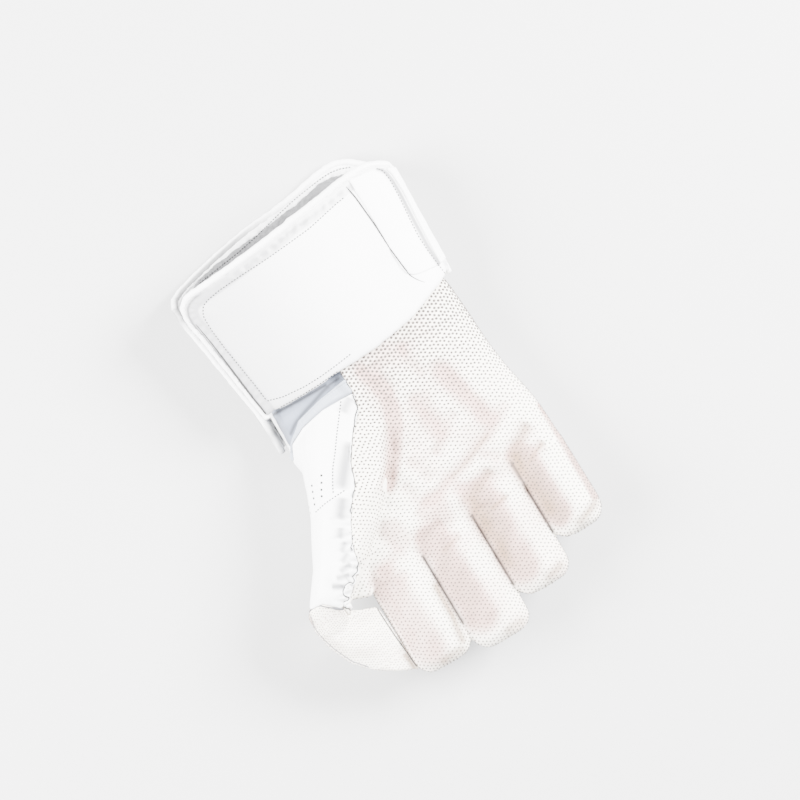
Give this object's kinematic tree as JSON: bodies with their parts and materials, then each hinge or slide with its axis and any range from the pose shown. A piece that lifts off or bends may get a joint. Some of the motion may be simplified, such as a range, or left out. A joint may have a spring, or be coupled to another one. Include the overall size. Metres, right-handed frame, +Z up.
{
  "type": "wicketkeeping glove",
  "caption": "Padded wicketkeeping glove for the right hand, with a pimpled rubber palm, a thumb web and a long flared cuff.",
  "frame": {"origin": "on the surface that the glove lies on, below the middle of its overall box", "axes": "+Z up from the back of the hand to the palm side, +Y from the fingertips to the cuff, +X to the little finger"},
  "size_m": [0.218, 0.3514, 0.0606],
  "materials": {
    "facing_rubber": "matt pimpled cream rubber",
    "white_leather": "smooth white leather, fine grain",
    "binding_leather": "rolled white leather",
    "towelling": "grey looped towelling",
    "gusset_fabric": "blue-grey woven fabric",
    "elastic_band": "pale blue-grey ribbed elastic"
  },
  "bodies": {
    "root": {"palm_facing": "facing_rubber", "thumb_web": "facing_rubber", "thumb_leather": "white_leather", "hand_back": "white_leather", "finger_back_index": "white_leather", "finger_back_middle": "white_leather", "finger_back_ring": "white_leather", "finger_back_little": "white_leather", "cuff_front_panel": "white_leather", "cuff_back_panel": "white_leather", "cuff_side_overlay": "white_leather", "cuff_front_binding": "binding_leather", "cuff_back_binding": "binding_leather", "cuff_lining": "towelling", "wrist_gusset": "gusset_fabric", "wrist_band": "elastic_band"}
  },
  "joints": []
}
